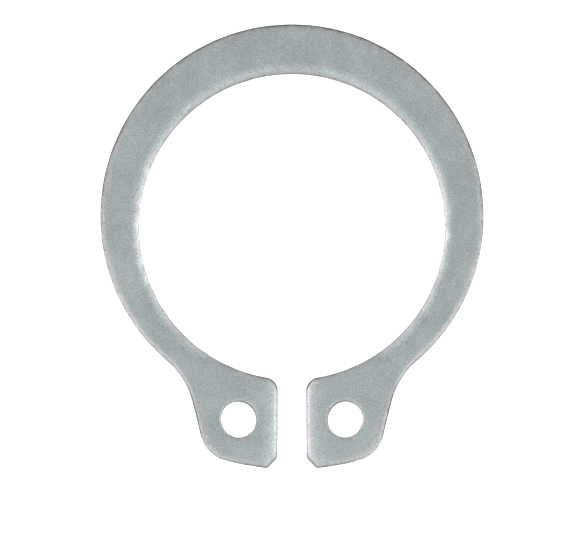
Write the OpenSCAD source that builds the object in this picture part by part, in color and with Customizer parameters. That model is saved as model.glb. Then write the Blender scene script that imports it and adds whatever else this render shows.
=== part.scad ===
// External retaining ring: a flat spring-steel ring, open between two lugs with plier holes, that snaps
// into the groove of a shaft. It is punched in one piece, so its front face rolls over along its outline.
// The origin is the centre of the free ring on its back face, +Z towards the front, the slot at -Y.

/* [Ring] */
// Inner diameter of the free ring, a little under the groove that it grips
inner_d = 14.7; // [14.2:0.1:15.2]
// Width of the band opposite the slot, where it is widest
band_top = 2.38; // [2.2:0.01:2.6]
// Width that the band's curve has tapered to at the slot
band_end = 1.32; // [1.1:0.01:1.5]
// Thickness of the strip
thickness = 1; // [0.8:0.05:1.2]

/* [Lugs] */
// Height of a lug, out from the inner circle
lug_height = 4.3; // [4.1:0.05:4.5]
// Width of the slot between the lugs
slot_w = 1.35; // [1.1:0.05:1.6]
// Lean of a lug's outer flank towards the slot, in degrees
flank_lean = 14.2; // [12:0.1:17]
// Metal between the centre of a plier hole and the flank
flank_wall = 1.94; // [1.85:0.01:2.1]
// Radius of the lug's outer corner
corner_r = 1.67; // [1.5:0.01:1.8]
// Radius of the hollow where the band runs out into the flank
root_r = 3.36; // [2.8:0.01:3.8]
// Radius of the corner where the slot opens into the ring
mouth_r = 0.69; // [0.6:0.01:0.75]
// Leg of the chamfer on the lug's foot, beside the slot
foot_chamfer = 0.52; // [0.4:0.01:0.65]

/* [Plier holes] */
// Diameter of a plier hole
hole_d = 1.7; // [1.5:0.05:1.9]
// Height of a hole's centre, out from the inner circle
hole_up = 2.25; // [2.15:0.05:2.4]
// Metal between the centre of a hole and the side of the slot
slot_wall = 1.89; // [1.8:0.01:2]

/* [Edges] */
// How far the rolled edge reaches in over the front face
roll_w = 0.3; // [0.24:0.01:0.33]
// How far the rolled edge drops down the cut wall
roll_drop = 0.12; // [0.1:0.01:0.15]
// Radius that tumbling leaves on a sharp edge
edge_r = 0.06; // [0.04:0.01:0.08]

/* [Hidden] */
$fn = 120;

// Overshoot that makes two arcs cross where they would only touch
blend = 0.002;
// The same for the small radii of the section
fine_blend = 0.0005;
// How far the waste reaches past the metal
clear = 0.5;

inner_r = inner_d / 2;
lug_r = inner_r + lug_height;
far = 2 * lug_r;

// The band's outer circle is larger and its centre is shifted away from the slot, so the band tapers
outer_r = inner_r + (band_top + band_end) / 2;
outer_at = [0, (band_top - band_end) / 2];

// One lug is worked out at +X and mirrored, from its plier hole outwards
hole_x = slot_w / 2 + slot_wall;
hole_at = [hole_x, -sqrt(pow(inner_r + hole_up, 2) - pow(hole_x, 2))];

// The flank is a line at flank_reach from the ring's centre
flank_out = [cos(flank_lean), -sin(flank_lean)];
flank_down = [-sin(flank_lean), -cos(flank_lean)];
flank_reach = flank_out * hole_at + flank_wall;

// Outer corner, touching the flank and the lug's end from within
corner_out = flank_reach - corner_r;
corner_down = sqrt(pow(lug_r - corner_r, 2) - pow(corner_out, 2));
corner_at = corner_out * flank_out + corner_down * flank_down;
corner_dir = corner_at / norm(corner_at);

// Root hollow, touching the band's outer circle and the flank from outside
root_out = flank_reach + root_r;
root_down = outer_at * flank_down
    + sqrt(pow(outer_r + root_r, 2) - pow(root_out - outer_at * flank_out, 2));
root_at = root_out * flank_out + root_down * flank_down;
root_dir = (root_at - outer_at) / norm(root_at - outer_at);

// Corner at the slot's mouth, touching the slot's side and the inner circle from within the metal
mouth_x = slot_w / 2 + mouth_r;
mouth_at = [mouth_x, -sqrt(pow(inner_r + mouth_r, 2) - pow(mouth_x, 2))];

// The foot of the slot's side, where it would meet the lug's end without its chamfer
foot_at = [slot_w / 2, -sqrt(pow(lug_r, 2) - pow(slot_w / 2, 2))];

// Rolled edge: one arc from the front face, which it meets at roll_tilt, down to the wall
roll_tilt = 7;
roll_r = (pow(roll_w, 2) + pow(roll_drop, 2))
    / (2 * (roll_drop * cos(roll_tilt) - roll_w * sin(roll_tilt)));
roll_at = [-roll_w - roll_r * sin(roll_tilt), thickness - roll_r * cos(roll_tilt)];

// Shoulder between that arc and the wall, tumbled to edge_r
shoulder_at = [-edge_r, roll_at[1] + sqrt(pow(roll_r - edge_r, 2) - pow(roll_at[0] + edge_r, 2))];
shoulder_dir = (shoulder_at - roll_at) / norm(shoulder_at - roll_at);

// Section of the waste at a rolled front edge; the wall is x = 0 and the metal lies at -x
module roll_waste() {
    difference() {
        translate([roll_at[0], thickness - 2 * roll_drop])
            square([clear - roll_at[0], clear + 2 * roll_drop]);
        translate(roll_at)
            circle(roll_r);
    }
    difference() {
        polygon([
            shoulder_at,
            shoulder_at + [clear, 0],
            [clear, thickness],
            shoulder_at + 2 * edge_r * shoulder_dir
        ]);
        translate(shoulder_at)
            circle(edge_r + fine_blend);
    }
}

// Section of the waste at a tumbled back edge
module back_waste() {
    difference() {
        translate([-edge_r, -clear])
            square([edge_r + clear, edge_r + clear]);
        translate([-edge_r, edge_r])
            circle(edge_r + fine_blend);
    }
}

// Section of the waste at a plier hole, whose rims have no roll and are tumbled alike on both faces
module hole_waste() {
    back_waste();
    translate([0, thickness])
        mirror([0, 1])
            back_waste();
}

// Section of a cut edge, with reach of metal behind its wall
module edge_section(reach) {
    difference() {
        translate([-reach, 0])
            square([reach, thickness]);
        roll_waste();
        back_waste();
    }
}

// Section of the waste beyond a cut edge
module beyond_section(reach) {
    translate([0, -clear])
        square([reach, thickness + 2 * clear]);
    roll_waste();
    back_waste();
}

// Metal inside a circle of radius r, with its edges rolled and tumbled
module rolled_disc(r) {
    rotate_extrude()
        difference() {
            square([r, thickness]);
            translate([r, 0]) {
                roll_waste();
                back_waste();
            }
        }
}

// Waste inside a circle of radius r, with the edge waste given as its child
module bore(r) {
    translate([0, 0, -clear])
        cylinder(r = r, h = thickness + 2 * clear);
    rotate_extrude()
        translate([r, 0])
            mirror([1, 0])
                children();
}

// A section run along Y, both ways from the origin
module run_along(length) {
    rotate([90, 0, 0])
        linear_extrude(length, center = true)
            children();
}

// Square-walled block through the whole thickness
module block(points) {
    translate([0, 0, -clear])
        linear_extrude(thickness + 2 * clear)
            polygon(points);
}

module both_sides() {
    children();
    mirror([1, 0, 0])
        children();
}

// Lug between its flank and its end; the block leaves out the corner, which a disc then rounds
module lug() {
    intersection() {
        rolled_disc(lug_r);
        rotate([0, 0, -flank_lean])
            translate([flank_reach, 0, 0])
                run_along(far)
                    edge_section(far);
        block([
            [0, 0],
            [0, -far],
            corner_at + far * corner_dir,
            corner_at,
            corner_at + far * flank_out,
            outer_at + far * root_dir
        ]);
    }
    translate(corner_at)
        rolled_disc(corner_r + blend);
}

// Metal between the band and the flank, hollowed by the root's arc
module root() {
    difference() {
        linear_extrude(thickness)
            polygon([
                outer_at + (outer_r - band_end) * root_dir,
                root_at,
                root_at - (root_r + corner_r) * flank_out
            ]);
        translate(root_at)
            bore(root_r + blend) {
                roll_waste();
                back_waste();
            }
    }
}

// Slot between the lugs, from inside the ring out past their ends
module slot() {
    translate([0, -(inner_r + lug_r) / 2, 0])
        run_along(lug_height + 2 * clear)
            both_sides()
                translate([-slot_w / 2, 0])
                    beyond_section(slot_w);
}

// Square corner at the slot's mouth, back to where its rounding starts
module mouth_waste() {
    block([mouth_at, [0, mouth_at[1]], [0, 0]]);
}

// Corner of the lug's foot, cut off at 45 degrees by a short run of waste that lies towards the slot
module foot_waste() {
    translate(foot_at + [0, foot_chamfer])
        rotate([0, 0, 45])
            run_along(4 * foot_chamfer)
                mirror([1, 0])
                    beyond_section(foot_chamfer);
}

module retaining_ring() {
    color("#A6ADAE") {
        difference() {
            union() {
                translate(outer_at)
                    rolled_disc(outer_r);
                both_sides() {
                    lug();
                    root();
                }
            }
            bore(inner_r) {
                roll_waste();
                back_waste();
            }
            slot();
            both_sides() {
                mouth_waste();
                foot_waste();
                translate(hole_at)
                    bore(hole_d / 2)
                        hole_waste();
            }
        }
        both_sides()
            translate(mouth_at)
                rolled_disc(mouth_r + blend);
    }
}

retaining_ring();
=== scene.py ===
# A retaining ring for the groove of a shaft, lying on its back face and seen from straight above.
import math
import bpy
import numpy as np
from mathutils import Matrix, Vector, geometry, kdtree


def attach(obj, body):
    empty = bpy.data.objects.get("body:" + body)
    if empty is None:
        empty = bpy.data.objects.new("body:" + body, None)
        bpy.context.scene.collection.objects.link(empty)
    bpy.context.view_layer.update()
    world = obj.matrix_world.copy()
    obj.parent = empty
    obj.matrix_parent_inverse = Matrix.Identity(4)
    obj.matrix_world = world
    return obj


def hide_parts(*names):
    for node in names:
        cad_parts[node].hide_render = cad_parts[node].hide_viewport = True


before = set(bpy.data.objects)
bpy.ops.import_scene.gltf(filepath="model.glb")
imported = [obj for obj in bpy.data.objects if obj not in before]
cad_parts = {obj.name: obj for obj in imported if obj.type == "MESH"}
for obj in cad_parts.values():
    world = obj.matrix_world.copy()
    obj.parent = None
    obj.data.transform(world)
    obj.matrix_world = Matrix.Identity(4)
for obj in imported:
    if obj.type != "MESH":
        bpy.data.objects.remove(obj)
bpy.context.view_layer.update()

# Retaining ring: one flat piece of hardened spring steel, punched out of strip from the front. The punch
# draws the front face down along the outline, shears the upper wall bright and tears the lower wall off.
# The ring was then tumbled, which rounded its edges and roughened its faces, and plated.
MM = 0.001
THICKNESS = 1.0
INNER_R = 7.35
OUTER_R = 9.2
OUTER_AT = np.array([0, 0.53])
LUG_R = 11.65
SLOT_HALF = 0.675
SLOT_LEAN_HEIGHT = 0.6
HOLE_R = 0.85
HOLE_AT = np.array([2.565, -9.251])
FLANK_LEAN = 14.2
FLANK_WALL = 1.94
CORNER_R = 1.67
ROOT_R = 3.36
MOUTH_R = 0.65
FOOT_CHAMFER = 0.54
FOOT_TOP_EASE = 0.4
FOOT_END_EASE = 0.16

# The edge at each place of the outline, as (width of the roll, its drop, how much painted shade darkens the
# shoulder, standing in for the dark that the rolled-over edge mirrors, how fast that fades, how far in the
# plating is rubbed, how far the cut stands out past the drawn line). They are fitted to how light or dark
# each place looks, and aren't measured depths.
BAND_TOP_EDGE = (0.42, 0.044, 1.45, 0.065, 0.8, 0.006)
BAND_SHOULDER_EDGE = (0.4, 0.042, 2.1, 0.049, 0.8, 0.018)
BAND_SIDE_EDGE = (0.52, 0.05, 1.3, 0.06, 0.8, 0.008)
BAND_LOW_EDGE = (0.42, 0.054, 0.35, 0.06, 0.7, 0.014)
ROOT_TOP_EDGE = (0.3, 0.082, 0.0, 0.05, 0.5, 0.01)
ROOT_EDGE = (0.21, 0.066, 0.3, 0.04, 0.4, 0.034)
FLANK_TOP_EDGE = (0.25, 0.053, 2.3, 0.045, 0.4, 0.002)
FLANK_EDGE = (0.25, 0.053, 2.3, 0.045, 1.9, 0.002)
CORNER_EDGE = (0.4, 0.046, 0.05, 0.05, 1.9, 0.028)
END_EDGE = (0.33, 0.046, 0.95, 0.046, 0.5, 0.028)
END_FOOT_EDGE = (0.36, 0.046, 1.2, 0.05, 0.5, -0.002)
FOOT_EDGE = (0.35, 0.04, 1.3, 0.055, 0.45, -0.002)
SLOT_FOOT_EDGE = (0.2, 0.004, 0.4, 0.05, 0.5, -0.034)
SLOT_EDGE = (0.2, 0.004, 0.15, 0.05, 0.5, -0.003)
MOUTH_EDGE = (0.3, 0.02, 1.2, 0.065, 0.4, 0.0)
MOUTH_BORE_EDGE = (0.5, 0.036, 2.7, 0.06, 0.5, 0.01)
BORE_LOW_EDGE = (0.13, 0.01, 0.8, 0.056, 0.5, 0.02)
BORE_CROOK_EDGE = (0.88, 0.157, 0.7, 0.06, 0.45, 0.012)
BORE_EDGE = (0.69, 0.117, 0.0, 0.06, 0.45, 0.006)
BORE_TOP_EDGE = (0.74, 0.129, 0.65, 0.055, 0.5, 0.012)
HOLE_OUT_EDGE = (0.15, 0.02, 0.25, 0.04, 0.25, 0.016)
HOLE_SIDE_EDGE = (0.2, 0.03, 0.2, 0.04, 0.25, -0.024)
HOLE_TOP_EDGE = (0.28, 0.045, 1.15, 0.036, 0.25, -0.002)
HOLE_SLOT_EDGE = (0.28, 0.04, 1.5, 0.036, 0.25, 0.013)
HOLE_LOW_EDGE = (0.15, 0.018, 0.7, 0.036, 0.25, -0.021)

# How far apart the outline's points are at most: in mm, and on a small arc as a share of its radius
POINT_SPACING = 0.08
ARC_SPACING_SHARE = 0.2


def turned(degrees):
    return np.array([math.cos(math.radians(degrees)), math.sin(math.radians(degrees))])


def bearing(point):
    return math.degrees(math.atan2(point[1], point[0]))


def steps(length, spacing):
    """Shares of the way along a length, from 0 to just before 1."""
    count = max(2, math.ceil(length / spacing))
    return [k / count for k in range(count)]


def between(first, last, share):
    return np.array(first) * (1 - share) + np.array(last) * share


def arc(centre, radius, *stops):
    """Points along an arc through stops of (bearing, edge there), without the last stop."""
    spacing = min(POINT_SPACING, ARC_SPACING_SHARE * radius)
    points = []
    for (start, edge), (end, last_edge) in zip(stops, stops[1:]):
        for k in steps(abs(math.radians(end - start)) * radius, spacing):
            at = centre + radius * turned(start + (end - start) * k)
            points.append([*at, *between(edge, last_edge, k)])
    return points


def line(*stops):
    """The same along straight lines through stops of (point, edge there)."""
    points = []
    for (start, edge), (end, last_edge) in zip(stops, stops[1:]):
        for k in steps(np.linalg.norm(end - start), POINT_SPACING):
            points.append([*between(start, end, k), *between(edge, last_edge, k)])
    return points


# One lug is worked out at +X from its plier hole outwards: its flank is a line beside the hole, and the arcs
# of the corner and the root touch that line
ring_at = np.zeros(2)
flank_out = turned(-FLANK_LEAN)
flank_down = turned(-FLANK_LEAN - 90)
flank_reach = flank_out @ HOLE_AT + FLANK_WALL
corner_out = flank_reach - CORNER_R
corner_at = corner_out * flank_out + math.sqrt((LUG_R - CORNER_R) ** 2 - corner_out ** 2) * flank_down
root_out = flank_reach + ROOT_R
root_at = root_out * flank_out + flank_down * (
    OUTER_AT @ flank_down + math.sqrt((OUTER_R + ROOT_R) ** 2 - (root_out - OUTER_AT @ flank_out) ** 2))
root_start = bearing(OUTER_AT - root_at) % 360
root_end = 180 - FLANK_LEAN
mouth_x = SLOT_HALF + MOUTH_R
mouth_at = np.array([mouth_x, -math.sqrt((INNER_R + MOUTH_R) ** 2 - mouth_x ** 2)])

# The foot's chamfer meets the lug's end where the line down from foot_top at 45 degrees crosses the end's
# circle, and is eased into its neighbours with an arc at each end
foot_top = np.array([SLOT_HALF, FOOT_CHAMFER - math.sqrt(LUG_R ** 2 - SLOT_HALF ** 2)])
foot_down, foot_in = turned(-45), turned(45)
along = foot_top @ foot_down
foot_end = foot_top + foot_down * (math.sqrt(along ** 2 - foot_top @ foot_top + LUG_R ** 2) - along)
ease_share = math.tan(math.radians(45 / 2))
top_cut = FOOT_TOP_EASE * ease_share
ease_top = foot_top + [FOOT_TOP_EASE, top_cut]
end_cut = FOOT_END_EASE * ease_share
ease_end = foot_end - foot_down * end_cut + foot_in * FOOT_END_EASE
end_bearing = bearing(foot_end) + math.degrees(end_cut / LUG_R)

# The slot's side leans back into the lug over its last part above the foot
slot_foot = foot_top + [0, top_cut]
slot_low = foot_top + [0, SLOT_LEAN_HEIGHT]
slot_middle = np.array([SLOT_HALF, HOLE_AT[1]])
slot_top = np.array([SLOT_HALF, mouth_at[1]])

half = (
    arc(OUTER_AT, OUTER_R, (90, BAND_TOP_EDGE), (50, BAND_SHOULDER_EDGE), (5, BAND_SIDE_EDGE),
        (-25, BAND_LOW_EDGE), (bearing(root_at - OUTER_AT), ROOT_TOP_EDGE))
    + arc(root_at, ROOT_R, (root_start, ROOT_TOP_EDGE), ((root_start + root_end) / 2, ROOT_EDGE),
          (root_end, FLANK_TOP_EDGE))
    + line((root_at - ROOT_R * flank_out, FLANK_TOP_EDGE), (corner_at + CORNER_R * flank_out, FLANK_EDGE))
    + arc(corner_at, CORNER_R, (-FLANK_LEAN, CORNER_EDGE), (bearing(corner_at), CORNER_EDGE))
    + arc(ring_at, LUG_R, (bearing(corner_at), END_EDGE), (end_bearing, END_FOOT_EDGE))
    + arc(ease_end, FOOT_END_EASE, (end_bearing, FOOT_EDGE), (-135, FOOT_EDGE))
    + line((ease_end - foot_in * FOOT_END_EASE, FOOT_EDGE), (ease_top - foot_in * FOOT_TOP_EASE, FOOT_EDGE))
    + arc(ease_top, FOOT_TOP_EASE, (-135, FOOT_EDGE), (-180, FOOT_EDGE))
    + line((slot_foot, SLOT_FOOT_EDGE), (slot_low, SLOT_FOOT_EDGE), (slot_middle, SLOT_EDGE),
           (slot_top, SLOT_EDGE))
    + arc(mouth_at, MOUTH_R, (180, MOUTH_EDGE), (bearing(-mouth_at), MOUTH_BORE_EDGE))
    + arc(ring_at, INNER_R, (bearing(mouth_at), BORE_LOW_EDGE), (-63, BORE_LOW_EDGE), (-54, BORE_CROOK_EDGE),
          (-10, BORE_EDGE), (20, BORE_EDGE), (65, BORE_TOP_EDGE), (90, BORE_TOP_EDGE))
)
half = np.array(half + [[0, INNER_R, *BORE_TOP_EDGE]])
flip = np.array([-1] + [1] * (half.shape[1] - 1))
outline = np.concatenate([half, (half * flip)[-2:0:-1]])
hole = np.array(arc(
    HOLE_AT, HOLE_R, (-15, HOLE_OUT_EDGE), (45, HOLE_SIDE_EDGE), (105, HOLE_TOP_EDGE), (150, HOLE_SLOT_EDGE),
    (185, HOLE_SLOT_EDGE), (212, HOLE_LOW_EDGE), (270, HOLE_LOW_EDGE), (345, HOLE_OUT_EDGE)))

# How the edge wavers along its loop, as (how much, the shortest wave, how many waves): the roll's width, its
# drop and the painted shade on the shoulder as shares of themselves, and the cut in mm. Such a sum of waves
# usually stays within its peak.
EDGE_WAVERS = ((0.1, 1.2, 60), (0.14, 0.7, 90), (0.2, 0.5, 90))
CUT_WAVER = (0.004, 0.9, 80)
WAVER_PEAK = 1.6

# How far the cut lies inside the drawn line, and over what length one edge passes into the next
CUT_INSET = 0.004
OUTLINE_BLEND = 0.3
HOLE_BLEND = 0.12

# Nicks in the cut edge, as (x, y, depth, half length)
NICKS = (
    (3.2, -11.2, 0.03, 0.1), (3.14, -9.97, 0.04, 0.07),
    (1.9, -11.5, 0.015, 0.15), (2.4, -11.38, 0.012, 0.12),
)


def lengths_along(points):
    """How far along a closed loop each point lies, and the loop's whole length."""
    spans = np.linalg.norm(np.roll(points, -1, axis=0) - points, axis=1)
    return np.concatenate([[0], np.cumsum(spans)[:-1]]), spans.sum()


def waver(rng, points, amount, shortest, count):
    """A smooth irregular value, mostly within amount of 0, around a closed loop, from count waves."""
    at, whole = lengths_along(points)
    top = max(3, int(whole / shortest))
    waves = rng.integers(1, top, count)
    phases = rng.uniform(0, 2 * math.pi, count)
    total = sum(np.sin(2 * math.pi * n * at / whole + p) for n, p in zip(waves, phases))
    return amount * (total / math.sqrt(count / 2) / WAVER_PEAK)


def evened(values, points, reach):
    """Values around a closed loop, evened out over reach mm along it."""
    at, whole = lengths_along(points)
    apart = np.abs(at[:, None] - at[None, :])
    apart = np.minimum(apart, whole - apart)
    weight = np.exp(-0.5 * (apart / reach) ** 2)
    return weight @ values / weight.sum(axis=1, keepdims=True)


# The loops of the cut edge, with the metal on the right of the way they run: the points, the direction
# into the metal, and the edge at each
rng = np.random.default_rng(16)
loops = []
for loop, blend in ((outline, OUTLINE_BLEND), (hole, HOLE_BLEND), ((hole * flip)[::-1], HOLE_BLEND)):
    points = loop[:, :2]
    edge = evened(loop[:, 2:], points, blend)
    ahead = np.roll(points, -1, axis=0) - np.roll(points, 1, axis=0)
    ahead /= np.linalg.norm(ahead, axis=1, keepdims=True)
    inward = np.stack([ahead[:, 1], -ahead[:, 0]], axis=1)
    for k, edge_waver in enumerate(EDGE_WAVERS):
        edge[:, k] *= 1 + waver(rng, points, *edge_waver)
    inset = CUT_INSET - edge[:, 5] + waver(rng, points, *CUT_WAVER)
    for x, y, depth, length in NICKS:
        for side in (1, -1):
            inset += depth * np.exp(-(np.linalg.norm(points - [side * x, y], axis=1) / length) ** 2)
    loops.append({"points": points + inward * inset[:, None], "inward": inward, "edge": edge[:, :5]})

# How steeply the roll falls off towards the wall, the radii of the tumbled shoulder and back edge, and how
# steeply the rubbing fades
ROLL_POWER = 2.6
SHOULDER_R = 0.05
BACK_R = 0.06
RUBBED_POWER = 1.5

# The lugs' noses are drawn down towards the slot over a wide strip as well: its mean slope, how much that
# grows for each mm down the lug and how far below the plier holes it stops growing; its width, how much that
# grows for each mm below the holes, and over what length the growth sets in
SLOT_DRAW_SLOPE = 0.126
SLOT_DRAW_STEEPENING = 0.07
SLOT_DRAW_STEEPEST = 0.8
SLOT_DRAW_WIDTH = 1.03
SLOT_DRAW_SPREAD = 0.22
SLOT_DRAW_BEND = 0.6


def slot_draw(flat):
    """How far the front is drawn down towards the slot."""
    x, y = np.abs(flat[:, 0]), flat[:, 1]
    below = HOLE_AT[1] - y
    width = SLOT_DRAW_WIDTH + SLOT_DRAW_SPREAD / 2 * (below + np.hypot(below, SLOT_DRAW_BEND))
    slope = SLOT_DRAW_SLOPE * (1 + SLOT_DRAW_STEEPENING * np.minimum(below, SLOT_DRAW_STEEPEST))
    drawn = slope * width * np.clip(1 - (x - SLOT_HALF) / width, 0, 1) ** ROLL_POWER
    return np.where(y < 0, drawn, 0)


def front_height(flat, reach, edge):
    """Height of the front face at a reach in from the wall: the long roll, then the tumbled shoulder."""
    roll = edge[:, 1] * np.clip(1 - reach / edge[:, 0], 0, 1) ** ROLL_POWER
    inside = SHOULDER_R - np.clip(reach, 0, SHOULDER_R)
    shoulder = SHOULDER_R - np.sqrt(SHOULDER_R ** 2 - inside ** 2)
    return THICKNESS - slot_draw(flat) - roll - shoulder


# Painted shade on the front's shoulder: the share of a dark tone, fading in from the wall, that stands in for
# the dark that the rolled-over edge mirrors
def front_dullness(reach, edge):
    return np.clip(edge[:, 2] * np.exp(-reach / edge[:, 3]), 0, 1)


def front_rubbed(reach, edge):
    return np.clip(1 - reach / edge[:, 4], 0, 1) ** RUBBED_POWER


# The torn part of the wall: where the tear began, how deep it lies and how rough it is, which fades towards
# that line, and its rows of points, as (share of its height, share of its depth)
TEAR_HEIGHT = 0.46
TEAR_WAVER = (0.05, 0.5, 90)
TEAR_DEPTH = 0.018
ROUGH_WAVER = (0.005, 0.25, 200)
ROUGH_FADE = 1.6
ROUGH_LEFT = 0.2
TORN_ROWS = ((0.14, 1), (0.3, 1.1), (0.5, 1.05), (0.7, 0.95), (0.88, 0.8), (0.97, 0.45), (1.03, 0.08))
TEAR_LINE_TORN = 0.4

# The rows round the back edge, up the sheared part of the wall, over the shoulder and just past it
BACK_ANGLES = (90, 60, 30)
SHEARED_SHARES = (0.12, 0.5, 0.9)
SHOULDER_ANGLES = (0, 30, 50, 70, 90)
FRONT_REACH = 0.08

vertices, quads = [], []
marks = {"dullness": [], "rubbed": [], "torn": [], "sheared": []}


def mark(count, **shares):
    """Notes how much painted shade darkens the last count points, and how rubbed, torn and sheared they are.
    """
    for name, values in marks.items():
        values.extend(np.broadcast_to(shares.get(name, 0), count).tolist())


# Rows of points up the cut edge, as (reach in from the wall, height, marks), and the faces between them
for loop in loops:
    points, edge = loop["points"], loop["edge"]
    count = len(points)
    tear_z = TEAR_HEIGHT + waver(rng, points, *TEAR_WAVER)
    rough = waver(rng, points, *ROUGH_WAVER)
    tear_top = tear_z * TORN_ROWS[-1][0]
    top_z = front_height(points, 0, edge)
    rows = []
    for angle in BACK_ANGLES:
        out, down = turned(angle)
        rows.append((TEAR_DEPTH + BACK_R * (1 - out), BACK_R * (1 - down), {"rubbed": 1}))
    for share, depth in TORN_ROWS:
        reach = TEAR_DEPTH * depth + rough * min(1, ROUGH_FADE * (1 - share) + ROUGH_LEFT)
        rows.append((reach, tear_z * share, {"torn": 1 if share < 1 else TEAR_LINE_TORN}))
    for share in SHEARED_SHARES:
        rows.append((0, tear_top + (top_z - tear_top) * share, {"sheared": 1}))
    # The shoulder's rows, which carry the painted shade along the edge
    for angle in SHOULDER_ANGLES:
        reach = SHOULDER_R * (1 - turned(angle)[0])
        rows.append((reach, front_height(points, reach, edge),
                     {"rubbed": 1, "dullness": front_dullness(reach, edge)}))
    rows.append((FRONT_REACH, front_height(points, FRONT_REACH, edge),
                 {"rubbed": front_rubbed(FRONT_REACH, edge), "dullness": front_dullness(FRONT_REACH, edge)}))
    loop["first"] = len(vertices)
    loop["rows"] = len(rows)
    for reach, height, shares in rows:
        flat = points + loop["inward"] * np.broadcast_to(reach, count)[:, None]
        vertices.extend(np.column_stack([flat, np.broadcast_to(height, count)]).tolist())
        mark(count, **shares)
    for row in range(len(rows) - 1):
        low = loop["first"] + row * count
        for k in range(count):
            after = (k + 1) % count
            quads.append((low + k, low + count + k, low + count + after, low + after))

# The nearest point of any loop gives a place on the front its reach and roll
edge_points = np.concatenate([loop["points"] for loop in loops])
edge_values = np.concatenate([loop["edge"] for loop in loops])
loop_starts = np.cumsum([0] + [len(loop["points"]) for loop in loops[:-1]])
edge_next = np.concatenate([
    start + np.roll(np.arange(len(loop["points"])), -1) for start, loop in zip(loop_starts, loops)])
edge_before = np.empty_like(edge_next)
edge_before[edge_next] = np.arange(len(edge_next))
edge_tree = kdtree.KDTree(len(edge_points))
for k, point in enumerate(edge_points):
    edge_tree.insert((*point, 0), k)
edge_tree.balance()


def nearest_edge(flat):
    """Reach in from the nearest wall, with what that wall's edge is like, for points inside the metal."""
    near = np.array([edge_tree.find((x, y, 0))[1] for x, y in flat])
    best = np.full(len(flat), np.inf)
    edge = np.ones((len(flat), edge_values.shape[1]))
    for start, end in ((edge_before[near], near), (near, edge_next[near])):
        span = edge_points[end] - edge_points[start]
        share = ((flat - edge_points[start]) * span).sum(axis=1) / (span ** 2).sum(axis=1)
        share = np.clip(share, 0, 1)[:, None]
        reach = np.linalg.norm(flat - edge_points[start] - span * share, axis=1)
        closer = reach < best
        best = np.where(closer, reach, best)
        edge = np.where(closer[:, None], edge_values[start] * (1 - share) + edge_values[end] * share, edge)
    return best, edge


# The faces' points: rows at these reaches in from the walls, with every so many of the loops' points, and a
# field of this spacing inside the last row. A row stops where another wall is nearer by more than its slack,
# and the field is first laid over the whole ring.
FRONT_ROWS = (0.11, 0.15, 0.2, 0.26, 0.33, 0.41, 0.5, 0.6, 0.7)
FRONT_STEP = 2
FRONT_SPACING = 0.2
BACK_ROWS = (0.16, 0.3)
BACK_STEP = 4
BACK_SPACING = 0.45
FIRST_ROW_SLACK = 0.0075
ROW_SLACK = 0.015
FIELD_X = (-9.3, 9.3)
FIELD_Y = (-11.7, 9.9)
SAME_PLACE = 1e-6


def hex_points(spacing):
    """Evenly spaced points over the ring and its openings, every other row shifted by half a space."""
    xs = np.arange(*FIELD_X, spacing)
    ys = np.arange(*FIELD_Y, spacing * math.sqrt(0.75))
    return np.array([(x + spacing / 2 * (k % 2), y) for k, y in enumerate(ys) for x in xs])


def inside(flat, rim):
    """Whether each point lies between the loops of a rim: an odd number of its lines lie to the right."""
    crossings = np.zeros(len(flat), int)
    for a, b in zip(rim, rim[edge_next]):
        if a[1] != b[1]:
            beside = (flat[:, 1] >= min(a[1], b[1])) & (flat[:, 1] < max(a[1], b[1]))
            cross_x = a[0] + (flat[:, 1] - a[1]) * (b[0] - a[0]) / (b[1] - a[1])
            crossings += beside & (flat[:, 0] < cross_x)
    return crossings % 2 == 1


def face_points(reaches, step, spacing):
    """Points of a face: rows at each reach in from the walls, and an even field inside them."""
    found = []
    for k, reach in enumerate(reaches):
        slack = ROW_SLACK if k else FIRST_ROW_SLACK
        for loop in loops:
            flat = (loop["points"] + loop["inward"] * reach)[::step]
            found.append(flat[np.abs(nearest_edge(flat)[0] - reach) < slack])
    field = hex_points(spacing)
    field = field[inside(field, edge_points)]
    found.append(field[nearest_edge(field)[0] > reaches[-1] + spacing / 2])
    return np.concatenate(found)


def fill_face(row, extra, is_front):
    """Triangles over the front or back face, from the given row of each loop inwards through extra points."""
    rim, rim_index, links = [], [], []
    for loop in loops:
        count = len(loop["points"])
        first = loop["first"] + (row % loop["rows"]) * count
        links += [(len(rim) + k, len(rim) + (k + 1) % count) for k in range(count)]
        rim += [vertices[first + k][:2] for k in range(count)]
        rim_index += range(first, first + count)
    given = [Vector(p) for p in rim] + [Vector(p) for p in extra.tolist()]
    flat, _, triangles, came_from, _, _ = geometry.delaunay_2d_cdt(given, links, [], 0, SAME_PLACE)
    reach, edge = nearest_edge(extra)
    heights = front_height(extra, reach, edge) if is_front else np.zeros(len(extra))
    rubbed = front_rubbed(reach, edge)
    # The front's share of the painted shade along its edges
    dull = front_dullness(reach, edge) * is_front
    index = []
    for sources in came_from:
        source = min(sources)
        if source < len(rim):
            index.append(rim_index[source])
        else:
            source -= len(rim)
            index.append(len(vertices))
            vertices.append([*extra[source], heights[source]])
            mark(1, rubbed=rubbed[source], dullness=dull[source])
    flat = np.array(flat)
    triangles = np.array(triangles)
    faces = []
    for a, b, c in triangles[inside(flat[triangles].mean(axis=1), np.array(rim))]:
        turns_left = np.cross(flat[b] - flat[a], flat[c] - flat[a]) > 0
        order = (a, b, c) if turns_left == is_front else (a, c, b)
        faces.append(tuple(index[k] for k in order))
    return faces


front = fill_face(-1, face_points(FRONT_ROWS, FRONT_STEP, FRONT_SPACING), True)
back = fill_face(0, face_points(BACK_ROWS, BACK_STEP, BACK_SPACING), False)

ring_mesh = bpy.data.meshes.new("retaining_ring_plated")
ring_mesh.from_pydata((np.array(vertices) * MM).tolist(), [], quads + front + back)
ring_mesh.shade_smooth()
for name, values in marks.items():
    ring_mesh.attributes.new(name, "FLOAT", "POINT").data.foreach_set("value", values)
ring = bpy.data.objects.new("retaining_ring_plated", ring_mesh)
bpy.context.scene.collection.objects.link(ring)


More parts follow.
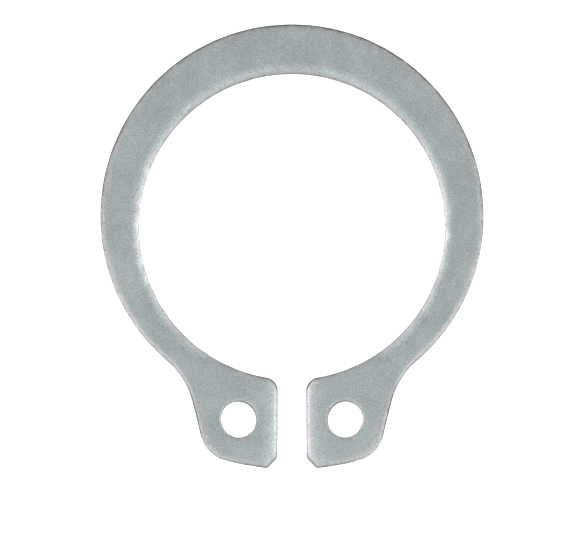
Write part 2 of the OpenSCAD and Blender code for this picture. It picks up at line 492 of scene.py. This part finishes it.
def linear(hex_colour):
    """An sRGB hex colour as linear red, green, blue and alpha."""
    shares = [int(hex_colour[k:k + 2], 16) / 255 for k in (1, 3, 5)]
    return [*(s / 12.92 if s <= 0.04045 else ((s + 0.055) / 1.055) ** 2.4 for s in shares), 1]


def add_node(material, kind, settings=None, inputs=None):
    """A node with its settings, and its inputs set to values or linked to other nodes' outputs."""
    node = material.node_tree.nodes.new(kind)
    for name, value in (settings or {}).items():
        setattr(node, name, value)
    for name, value in (inputs or {}).items():
        if isinstance(value, bpy.types.NodeSocket):
            material.node_tree.links.new(value, node.inputs[name])
        else:
            node.inputs[name].default_value = value
    return node


# Zinc-plated spring steel, tumbled before it was plated: a satin grey, a little blue, with a fine grain of
# peened pits, faint marks of the tumbling stones about 0.3 mm wide, faint clouds a few mm wide that are
# lighter or bluer, small darker stains, and neutral metal in coarser beads where the edges rubbed. Zinc's own
# grain is finer than the picture can show, so the pits are drawn as coarse as they need to be, about 0.1 mm
# apart.
PITS_PER_MM = 14.0
FLECKS_PER_MM = 7.0
STONES_PER_MM = 4.5
CLOUDS_PER_MM = 0.5
PIT_DEPTH = 0.004
RUBBED_BLUENESS_LOST = 0.78

zinc = bpy.data.materials.new("tumbled_zinc_plated_steel")
zinc.use_nodes = True
zinc.node_tree.nodes.clear()
place = add_node(zinc, "ShaderNodeTexCoord")
in_mm = add_node(zinc, "ShaderNodeVectorMath", {"operation": "SCALE"},
                 {0: place.outputs["Object"], "Scale": 1 / MM})
pits = add_node(zinc, "ShaderNodeTexNoise", None,
                {"Vector": in_mm.outputs[0], "Scale": PITS_PER_MM, "Detail": 1.0, "Roughness": 0.5})
stones = add_node(zinc, "ShaderNodeTexNoise", None,
                  {"Vector": in_mm.outputs[0], "Scale": STONES_PER_MM, "Detail": 2.0, "Roughness": 0.6,
                   "Distortion": 0.5})
clouds = add_node(zinc, "ShaderNodeTexNoise", None,
                  {"Vector": in_mm.outputs[0], "Scale": CLOUDS_PER_MM, "Detail": 1.5, "Roughness": 0.5})
pit_share = add_node(zinc, "ShaderNodeMapRange", None,
                     {"Value": pits.outputs["Fac"], "From Min": 0.25, "From Max": 0.75})
pit_tone = add_node(zinc, "ShaderNodeMix", {"data_type": "RGBA"},
                    {"Factor": pit_share.outputs[0], "A": linear("#969E9F"), "B": linear("#BCC4C5")})
stone_level = add_node(zinc, "ShaderNodeMapRange", None,
                       {"Value": stones.outputs["Fac"], "From Min": 0.3, "From Max": 0.7,
                        "To Min": 0.985, "To Max": 1.015})
cloud_level = add_node(zinc, "ShaderNodeMapRange", None,
                       {"Value": clouds.outputs["Fac"], "From Min": 0.35, "From Max": 0.65,
                        "To Min": 0.945, "To Max": 1.055})
cloudy = add_node(zinc, "ShaderNodeMath", {"operation": "MULTIPLY"},
                  {0: stone_level.outputs[0], 1: cloud_level.outputs[0]})
blueness = add_node(zinc, "ShaderNodeMapRange", None,
                    {"Value": clouds.outputs["Color"], "From Min": 0.4, "From Max": 0.65,
                     "To Min": 1.12, "To Max": 0.82})
rubbed = add_node(zinc, "ShaderNodeAttribute", {"attribute_name": "rubbed"})
unrubbed = add_node(zinc, "ShaderNodeMath", {"operation": "MULTIPLY_ADD"},
                    {0: rubbed.outputs["Fac"], 1: -RUBBED_BLUENESS_LOST, 2: 1.0})
blueness_left = add_node(zinc, "ShaderNodeMath", {"operation": "MULTIPLY"},
                         {0: blueness.outputs[0], 1: unrubbed.outputs[0]})
grey = add_node(zinc, "ShaderNodeHueSaturation", None,
                {"Color": pit_tone.outputs["Result"], "Value": cloudy.outputs[0],
                 "Saturation": blueness_left.outputs[0]})
flecks = add_node(zinc, "ShaderNodeTexNoise", None,
                  {"Vector": in_mm.outputs[0], "Scale": FLECKS_PER_MM, "Detail": 3.0, "Roughness": 0.7})
stain_share = add_node(zinc, "ShaderNodeMapRange", None,
                       {"Value": flecks.outputs["Fac"], "From Min": 0.36, "From Max": 0.26,
                        "To Min": 0.0, "To Max": 0.4})
stained = add_node(zinc, "ShaderNodeMix", {"data_type": "RGBA"},
                   {"Factor": stain_share.outputs[0], "A": grey.outputs["Color"], "B": linear("#7C8384")})
bead_tone = add_node(zinc, "ShaderNodeValToRGB", None, {"Fac": flecks.outputs["Fac"]})
beaded = add_node(zinc, "ShaderNodeMapRange", None,
                  {"Value": rubbed.outputs["Fac"], "From Min": 0.5, "From Max": 1.0})
clean = add_node(zinc, "ShaderNodeMix", {"data_type": "RGBA"},
                 {"Factor": beaded.outputs[0], "A": stained.outputs["Result"],
                  "B": bead_tone.outputs["Color"]})
# Painted shade: the shoulder along each cut edge is darkened towards #4E4F4F, a tone that stands in for the
# dark that the steep rolled-over edge mirrors
dull = add_node(zinc, "ShaderNodeAttribute", {"attribute_name": "dullness"})
tone_with_painted_shade = add_node(zinc, "ShaderNodeMix", {"data_type": "RGBA"},
                    {"Factor": dull.outputs["Fac"], "A": clean.outputs["Result"], "B": linear("#4E4F4F")})

# The cut wall: scored up and down where the punch sheared it, dark and matt where it tore
SCORES_PER_MM = 9.0
SCORE_STRETCH = 0.12
TORN_ROUGHNESS = 0.25
sheared = add_node(zinc, "ShaderNodeAttribute", {"attribute_name": "sheared"})
torn = add_node(zinc, "ShaderNodeAttribute", {"attribute_name": "torn"})
upright = add_node(zinc, "ShaderNodeVectorMath", {"operation": "MULTIPLY"},
                   {0: in_mm.outputs[0], 1: (1.0, 1.0, SCORE_STRETCH)})
scores = add_node(zinc, "ShaderNodeTexNoise", None,
                  {"Vector": upright.outputs[0], "Scale": SCORES_PER_MM, "Detail": 2.0, "Roughness": 0.6})
score_tone = add_node(zinc, "ShaderNodeValToRGB", None, {"Fac": scores.outputs["Fac"]})
wall_tone = add_node(zinc, "ShaderNodeMix", {"data_type": "RGBA"},
                     {"Factor": sheared.outputs["Fac"], "A": tone_with_painted_shade.outputs["Result"],
                      "B": score_tone.outputs["Color"]})
tear_tone = add_node(zinc, "ShaderNodeValToRGB", None, {"Fac": flecks.outputs["Fac"]})
tone = add_node(zinc, "ShaderNodeMix", {"data_type": "RGBA"},
                {"Factor": torn.outputs["Fac"], "A": wall_tone.outputs["Result"],
                 "B": tear_tone.outputs["Color"]})

# The dark and the light end of each ramp: the rubbed beads, the scores and the tear
for ramp, *ends in (
    (bead_tone, (0.36, "#A0A2A2"), (0.64, "#C6C9C9")),
    (score_tone, (0.35, "#8A8F90"), (0.62, "#B9BCBC")),
    (tear_tone, (0.35, "#585C5D"), (0.68, "#9A9E9F")),
):
    for stop, (position, colour) in zip(ramp.color_ramp.elements, ends):
        stop.position = position
        stop.color = linear(colour)

roughness = add_node(zinc, "ShaderNodeMapRange", None,
                     {"Value": stones.outputs["Fac"], "From Min": 0.3, "From Max": 0.7,
                      "To Min": 0.362, "To Max": 0.438})
matt = add_node(zinc, "ShaderNodeMath", {"operation": "MULTIPLY_ADD"},
                {0: torn.outputs["Fac"], 1: TORN_ROUGHNESS, 2: roughness.outputs[0]})
bump = add_node(zinc, "ShaderNodeBump", None,
                {"Height": pits.outputs["Fac"], "Strength": 1.0, "Distance": PIT_DEPTH * MM})
surface = add_node(zinc, "ShaderNodeBsdfPrincipled", None,
                   {"Base Color": tone.outputs["Result"], "Metallic": 1.0,
                    "Roughness": matt.outputs[0], "Normal": bump.outputs["Normal"]})
add_node(zinc, "ShaderNodeOutputMaterial", None, {"Surface": surface.outputs["BSDF"]})
ring_mesh.materials.append(zinc)
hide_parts("retaining_ring")
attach(ring, "root")

# Table: a plain white sheet that the ring lies on, with its own soft shadow. It is wide enough that none of
# its edges show in the photograph's view, and lies a hair below the ring's back face.
FLOOR_HALF = 0.6
FLOOR_GAP = 0.002
floor_mesh = bpy.data.meshes.new("table")
floor_mesh.from_pydata(
    [(x * FLOOR_HALF, y * FLOOR_HALF, -FLOOR_GAP * MM) for x, y in ((-1, -1), (1, -1), (1, 1), (-1, 1))],
    [], [(0, 1, 2, 3)])
floor = bpy.data.objects.new("table", floor_mesh)
bpy.context.scene.collection.objects.link(floor)

# White card: matt, and lit up to full white where a camera or a reflection sees it
CARD_GLOW = 0.6
card = bpy.data.materials.new("white_card")
card.use_nodes = True
card.node_tree.nodes.clear()
ray = add_node(card, "ShaderNodeLightPath")
straight = add_node(card, "ShaderNodeMath", {"operation": "MAXIMUM"},
                    {0: ray.outputs["Is Camera Ray"], 1: ray.outputs["Is Glossy Ray"]})
seen = add_node(card, "ShaderNodeMath", {"operation": "MAXIMUM"},
                {0: straight.outputs[0], 1: ray.outputs["Is Transmission Ray"]})
lift = add_node(card, "ShaderNodeMath", {"operation": "MULTIPLY"}, {0: seen.outputs[0], 1: CARD_GLOW})
paper = add_node(card, "ShaderNodeBsdfDiffuse", None, {"Color": linear("#F4F4F4")})
glow = add_node(card, "ShaderNodeEmission", None, {"Color": (1, 1, 1, 1), "Strength": lift.outputs[0]})
both = add_node(card, "ShaderNodeAddShader", None, {0: paper.outputs[0], 1: glow.outputs[0]})
add_node(card, "ShaderNodeOutputMaterial", None, {"Surface": both.outputs[0]})
floor_mesh.materials.append(card)

# Room light: a pale room, a little darker overhead, with soft boxes on both sides, behind the band and before
# the lugs. The satin metal mirrors them, so each edge is light or dark by the way it rolls over.
room = bpy.data.worlds.new("pale_room")
bpy.context.scene.world = room
room.use_nodes = True
room.node_tree.nodes.clear()
HORIZON_LEVEL = 0.76
CEILING_LEVEL = 0.607
towards = add_node(room, "ShaderNodeTexCoord")
height = add_node(room, "ShaderNodeSeparateXYZ", None, {0: towards.outputs["Generated"]})
level = add_node(room, "ShaderNodeMapRange", {"interpolation_type": "SMOOTHSTEP"},
                 {"Value": height.outputs["Z"], "From Min": 0.0, "From Max": 0.9,
                  "To Min": HORIZON_LEVEL, "To Max": CEILING_LEVEL})
sky = add_node(room, "ShaderNodeBackground", None, {"Color": (1, 1, 1, 1), "Strength": level.outputs[0]})
add_node(room, "ShaderNodeOutputWorld", None, {"Surface": sky.outputs[0]})


def soft_box(name, at, size, level):
    """A square lamp facing the ring, whose face is level times as bright as white."""
    lamp = bpy.data.lights.new(name, "AREA")
    lamp.shape = "SQUARE"
    lamp.size = size
    lamp.energy = level * math.pi * size ** 2
    box = bpy.data.objects.new(name, lamp)
    box.location = at
    box.rotation_euler = Vector(at).to_track_quat("Z", "Y").to_euler()
    box.visible_camera = False
    bpy.context.scene.collection.objects.link(box)


for side in (-1, 1):
    soft_box("side_box", (side * 0.2, 0, 0.19), 0.17, 1.95)
    soft_box("low_side_box", (side * 0.25, 0, 0.11), 0.15, 0.76)
    soft_box("front_side_box", (side * 0.1, -0.1, 0.245), 0.12, 0.98)
    soft_box("back_side_box", (side * 0.125, 0.175, 0.19), 0.15, 1.1)
soft_box("front_box", (0, -0.12, 0.26), 0.12, 0.54)
soft_box("low_front_box", (0, -0.22, 0.185), 0.15, 0.27)

# Camera: straight above the ring, as in the photograph, and far enough off that the walls of the cut edge
# show as less than a pixel.
VIEW_AT = np.array([-0.48, -2.068])
VIEW_WIDTH = 27.09
LENS = 600.0
SENSOR = 36.0
camera_data = bpy.data.cameras.new("camera")
camera_data.lens = LENS
camera_data.sensor_width = SENSOR
camera_data.clip_start = 0.01
camera_data.clip_end = 10
camera = bpy.data.objects.new("camera", camera_data)
camera.location = (VIEW_AT[0] * MM, VIEW_AT[1] * MM, (THICKNESS + VIEW_WIDTH * LENS / SENSOR) * MM)
bpy.context.scene.collection.objects.link(camera)
bpy.context.scene.camera = camera

bpy.context.scene.view_settings.view_transform = "Standard"
